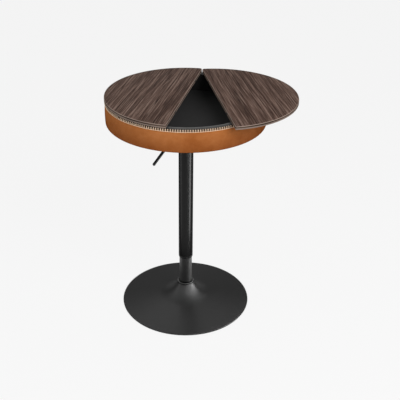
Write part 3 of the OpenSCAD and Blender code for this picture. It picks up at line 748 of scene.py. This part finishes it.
def stitches():
    """Flattened strands over the dark hem, with a chance lean and width for each."""
    around = 8
    half_width, half_height = 0.0013, 0.00062
    end_share, belly_share = 0.72, 0.28
    path = stitch_path()
    verts, faces = [], []
    for s in range(STITCHES):
        middle = 2 * math.pi * (s + 0.5) / STITCHES
        lean = random.uniform(-0.10, 0.10) * 0.001
        width = half_width * random.uniform(0.9, 1.1)
        start = len(verts)
        for k, (r, z, normal) in enumerate(path):
            w = width * (end_share + belly_share * math.sin(math.pi * k / (len(path) - 1)))
            for q in range(around):
                t = 2 * math.pi * q / around
                a = middle + (w * math.cos(t) + lean * k) / DRUM_R
                lift = half_height * math.sin(t)
                verts.append(on_column(r + normal.x * lift, a, z + normal.y * lift))
        faces += grid_faces(len(path), around, closed=False, start=start)
        faces += end_faces(start, len(verts), around)
    piece("stitches", verts, faces, look="thread", body="top", slot="leather", sharp=60)


def stitch_cord():
    """The cord along the stitches' feet, which dips in and down between them."""
    steps, around = STITCHES * 8, 8
    half_depth, half_height = 0.00075, 0.00070
    dip_in, dip_down = 0.00035, 0.0004
    stand_off, hang = 0.00015, 0.0006
    verts = []
    for i in range(steps):
        a = 2 * math.pi * i / steps
        dip = between_stitches(a)
        centre_r = HEM_R + stand_off + dip_in * (1 - dip)
        centre_z = STITCH_Z - hang - dip_down * dip
        for q in range(around):
            t = 2 * math.pi * q / around
            verts.append(on_column(centre_r + half_depth * math.cos(t), a,
                                   centre_z + half_height * math.sin(t)))
    piece("stitch_cord", verts, grid_faces(steps, around), look="thread", body="top",
          slot="leather", sharp=60)


# Rim

def rim_band():
    """The dark ring on the drum's wall, outside the bead."""
    low, high = RIM_LOW.z, RIM_HIGH.z
    inner, outer = RIM_IN + BEAD_W, RIM_HIGH.x
    outline = fillet([(inner, low, 0), (outer, low, 0.0002), (outer, high, 0.0012),
                      (inner, high, 0.0003)], 4)
    lathe("rim_band", outline, 256, look="rim", body="top", slot="black_plastic",
          replaces=["rim_ring"])


def rim_bead():
    """The grey bead along the ring's inner edge, which laps a little over the ring."""
    low, high = RIM_LOW.z, RIM_HIGH.z
    outer = RIM_IN + BEAD_W
    outline = fillet([(RIM_IN, low - 0.0010, 0.0003), (outer + 0.0002, low + 0.0001, 0),
                      (outer + 0.0004, high + 0.0003, 0.0012), (RIM_IN, high + 0.0004, 0.0013)], 6)
    lathe("rim_bead", outline, 256, look="bead", body="top", slot="black_plastic", sharp=50)


# Panels

def panel_corner(inset, rounding, sign):
    """A rounded corner, from the seam to the rim, and the angle at which it meets the rim."""
    steps = 9
    least_round = 0.0006
    r = max(rounding - inset, least_round)
    x = SEAM_HALF + inset + r
    y = math.sqrt((PANEL_R - inset - r) ** 2 - x ** 2)
    end = math.atan2(y, x)
    angles = [math.pi + (end - math.pi) * k / steps for k in range(steps + 1)]
    return [(x + r * math.cos(t), sign * (y + r * math.sin(t))) for t in angles], end


def half_disc(inset):
    """Outline of the right-hand panel in the seam's frame, moved in all round."""
    rim_steps, seam_steps = 150, 40
    back, back_angle = panel_corner(inset, BACK_CORNER, 1)
    front, front_angle = panel_corner(inset, FRONT_CORNER, -1)
    front.reverse()
    r = PANEL_R - inset
    sweep = back_angle + front_angle
    angles = [back_angle - sweep * k / rim_steps for k in range(1, rim_steps)]
    round_side = [(r * math.cos(t), r * math.sin(t)) for t in angles]
    (x0, y0), (x1, y1) = front[-1], back[0]
    seam_side = [(x0 + (x1 - x0) * k / seam_steps, y0 + (y1 - y0) * k / seam_steps)
                 for k in range(1, seam_steps)]
    return back + round_side + front + seam_side


def stored(side, x, y, z):
    """From the right-hand panel in the seam's frame to where a side's panel is stored."""
    point = Vector((x, y))
    if side == "left":
        point.x = -point.x
    else:
        point = PIVOT + Matrix.Rotation(OPEN, 2) @ (point - PIVOT)
    point = Matrix.Rotation(-SEAM_TURN, 2) @ point
    return (point.x, point.y, z)


def panel_loops(side, loops):
    """The panel's outline at each (inset, z), as points in rings, and the points of one ring."""
    rings = [[stored(side, x, y, z) for x, y in half_disc(inset)] for inset, z in loops]
    return [p for ring in rings for p in ring], len(rings[0])


# A panel's rounded edges as (inset, z) pairs; the top one is band at its side and board further in
TOP_EDGE = [(inset, TOP_Z - drop) for inset, drop in round_edge(TOP_ROUND, range(0, 91, 15))]
LOW_EDGE = [(inset, PANEL_Z + drop) for inset, drop in round_edge(LOW_ROUND, range(90, -1, -30))]
BAND_TOP = TOP_Z - TOP_ROUND + math.sqrt(TOP_ROUND ** 2 - (TOP_ROUND - BAND_T) ** 2)


def board(side):
    """The laminated board, closed above and below by a fan about a point inside it."""
    flat_inset, fan_x = 0.012, 0.12
    loops = [(flat_inset, TOP_Z)] + [(inset, z) for inset, z in TOP_EDGE if inset > BAND_T]
    loops += [(BAND_T, BAND_TOP), (BAND_T, PANEL_Z), (flat_inset, PANEL_Z)]
    verts, around = panel_loops(side, loops)
    faces = grid_faces(len(loops), around, closed=False)
    for first, z in ((0, TOP_Z), (len(verts) - around, PANEL_Z)):
        verts.append(stored(side, fan_x, 0.0, z))
        faces += [(first + q, first + (q + 1) % around, len(verts) - 1) for q in range(around)]
    piece(side + "_board", verts, faces, look="wood_" + side, body=side + "_leaf",
          slot="panel_wood", replaces=[side + "_panel"], sharp=25)


def band(side):
    """The edge band with its rounded edges."""
    loops = [(BAND_T, BAND_TOP)] + [(inset, z) for inset, z in TOP_EDGE if inset < BAND_T] + LOW_EDGE
    verts, around = panel_loops(side, loops)
    piece(side + "_band", verts, grid_faces(len(loops), around), look="edge", body=side + "_leaf",
          slot="panel_wood", replaces=[side + "_edge_band"], sharp=50)


# Lever

def grip_profile():
    """(distance, radius) from the end of the blind bore, out at the mouth and on to the round tip."""
    first_groove, groove_step, groove_depth = 0.006, 0.0032, 0.0005
    profile = [(GRIP_L - GRIP_END_T, GRIP_BORE_R), (0.0, GRIP_BORE_R), (0.0, GRIP_R - 0.0009),
               (0.0006, GRIP_R - 0.0003), (0.0030, GRIP_R)]
    for k in range(5):
        s = first_groove + groove_step * k
        profile += [(s, GRIP_R), (s + 0.0004, GRIP_R - groove_depth),
                    (s + 0.0012, GRIP_R - groove_depth), (s + 0.0016, GRIP_R)]
    profile += [(0.030, GRIP_R), (0.050, GRIP_R - 0.0002), (GRIP_L - GRIP_R, GRIP_R)]
    for degrees in (15, 30, 45, 60, 72, 82):
        t = math.radians(degrees)
        profile.append((GRIP_L - GRIP_R + GRIP_R * math.sin(t), GRIP_R * math.cos(t)))
    return profile


def lever_handle():
    """Grip over the lever's rod, with a blind bore, a chamfered mouth, grooves and a round tip."""
    around = 32
    axis = Vector(joints["lever_lift"]["axis"])
    pivot = Vector(joints["lever_lift"]["pos_m"])
    across = (-axis).normalized()
    outward = across.cross(Vector((0, 0, 1))).normalized()
    bend = pivot + outward * LEVER_BEND
    tip = outward * LEVER_REACH + Vector((0, 0, pivot.z - LEVER_DROP))
    along = (tip - bend).normalized()
    third = along.cross(across)
    mouth = (tip - bend).length - GRIP_L
    profile = grip_profile()
    verts = []
    for s, r in profile:
        for q in range(around):
            t = 2 * math.pi * q / around
            verts.append(bend + along * (mouth + s) + across * (r * math.cos(t))
                         + third * (r * math.sin(t)))
    faces = grid_faces(len(profile), around, closed=False) + end_faces(0, len(verts), around)
    piece("lever_handle", verts, faces, look="plastic", body="lever", slot="black_plastic",
          replaces=["lever_grip"], sharp=40)


# Stage, light and camera

def seen_rays(tree):
    """1 for camera, glossy and transmission rays, 0 for the rays that light the object."""
    rays = tree.nodes.new("ShaderNodeLightPath")
    seen = rays.outputs["Is Camera Ray"]
    for kind in ("Is Glossy Ray", "Is Transmission Ray"):
        either = tree.nodes.new("ShaderNodeMath")
        either.operation = "MAXIMUM"
        tree.links.new(seen, either.inputs[0])
        tree.links.new(rays.outputs[kind], either.inputs[1])
        seen = either.outputs[0]
    return seen


def shader(tree, kind, level):
    """A shader of one even grey."""
    node = tree.nodes.new(kind)
    node.inputs["Color"].default_value = (*grey(level), 1)
    return node.outputs[0]


def choice(tree, fac, a, b):
    """Mix of two shaders, by a number or by a node's output."""
    node = tree.nodes.new("ShaderNodeMixShader")
    if isinstance(fac, float):
        node.inputs[0].default_value = fac
    else:
        tree.links.new(fac, node.inputs[0])
    tree.links.new(a, node.inputs[1])
    tree.links.new(b, node.inputs[2])
    return node.outputs[0]


def stage_floor():
    """A pale floor that keeps a soft shadow and can be looked through from below."""
    half, glow_share = 30.0, 0.90
    mesh = bpy.data.meshes.new("floor")
    mesh.from_pydata([(-half, -half, 0), (half, -half, 0), (half, half, 0), (-half, half, 0)], [],
                     [(0, 1, 2, 3)])
    floor = bpy.data.objects.new("floor", mesh)
    scene.collection.objects.link(floor)
    mat = bpy.data.materials.new("floor_pale")
    mat.use_nodes = True
    tree = mat.node_tree
    tree.nodes.clear()
    plain = shader(tree, "ShaderNodeBsdfDiffuse", 0.60)
    lit = shader(tree, "ShaderNodeBsdfDiffuse", 0.80)
    glow = shader(tree, "ShaderNodeEmission", 0.957)
    top = choice(tree, seen_rays(tree), plain, choice(tree, glow_share, lit, glow))
    below = tree.nodes.new("ShaderNodeNewGeometry").outputs["Backfacing"]
    clear = tree.nodes.new("ShaderNodeBsdfTransparent").outputs[0]
    surface = tree.nodes.new("ShaderNodeOutputMaterial").inputs["Surface"]
    tree.links.new(choice(tree, below, top, clear), surface)
    mesh.materials.append(mat)


def studio_world():
    """Even light from all round, with a pale backdrop for the rays that see it."""
    world = bpy.data.worlds.new("studio")
    scene.world = world
    world.use_nodes = True
    tree = world.node_tree
    ambient = tree.nodes["Background"]
    ambient.inputs["Color"].default_value = (1, 1, 1, 1)
    ambient.inputs["Strength"].default_value = 0.46
    backdrop = shader(tree, "ShaderNodeBackground", 0.925)
    both = choice(tree, seen_rays(tree), ambient.outputs[0], backdrop)
    tree.links.new(both, tree.nodes["World Output"].inputs["Surface"])


def softbox(name, location, aim, size, radiance, glints=False, spread=180.0):
    """Area lamp that isn't seen itself; one for glints adds highlights and no other light."""
    data = bpy.data.lights.new(name, "AREA")
    data.shape = "RECTANGLE"
    data.size, data.size_y = size
    data.energy = radiance * math.pi * size[0] * size[1]
    data.spread = math.radians(spread)
    lamp = bpy.data.objects.new(name, data)
    scene.collection.objects.link(lamp)
    lamp.location = location
    lamp.rotation_mode = "QUATERNION"
    lamp.rotation_quaternion = (Vector(aim) - Vector(location)).to_track_quat("-Z", "Y")
    lamp.visible_camera = False
    lamp.visible_diffuse = not glints


def lamps():
    """Lamps by name, location, aim, width and height, and radiance."""
    drum, sleeve, neck, foot = (0, 0, 0.7), (0, -0.02, 0.31), (0, 0, 0.08), (0, 0, 0.05)
    softbox("key_right", (1.5, -2.3, 2.5), drum, (1.9, 1.9), 6.8)
    softbox("fill_left", (-1.9, -2.3, 1.8), drum, (1.6, 1.6), 2.7)
    softbox("strip_right", (0.385, -0.145, 0.31), sleeve, (0.14, 0.62), 13.0, glints=True)
    softbox("strip_left", (-0.385, -0.05, 0.31), sleeve, (0.12, 0.62), 2.6, glints=True)
    softbox("rim_right", (1.30, 0.25, 0.14), neck, (1.1, 0.34), 3.4, glints=True, spread=40)
    softbox("low_front", (1.35, -1.8, 0.26), neck, (1.9, 0.5), 1.4, glints=True, spread=40)
    softbox("back_left", (-0.40, 2.15, 2.06), foot, (0.8, 0.6), 0.42, glints=True, spread=40)
    softbox("front", (0.15, -2.2, 1.55), neck, (1.2, 1.0), 0.36, glints=True, spread=60)


def camera():
    """The photograph's camera, solved from the ellipses of the tabletop, drum and base."""
    image_width, focal_length_px = 400, 782.106
    location = (0.0556, -2.7063, 1.9225)
    pitch_down, roll = 0.4939, 0.0126
    data = bpy.data.cameras.new("camera")
    data.sensor_width = 36.0
    data.lens = focal_length_px / image_width * data.sensor_width
    data.clip_start, data.clip_end = 0.05, 200
    cam = bpy.data.objects.new("camera", data)
    scene.collection.objects.link(cam)
    cam.matrix_world = (Matrix.Translation(location)
                        @ Matrix.Rotation(math.radians(90) - pitch_down, 4, "X")
                        @ Matrix.Rotation(roll, 4, "Z"))
    scene.camera = cam


dress_cad_nodes()
base_cover()
neck_ring()
lower_tube()
sleeve_tube()
sleeve_lip()
leather_skin()
stitches()
stitch_cord()
rim_band()
rim_bead()
for leaf in ("left", "right"):
    board(leaf)
    band(leaf)
lever_handle()
stage_floor()
studio_world()
lamps()
camera()
scene.view_settings.view_transform = "Standard"
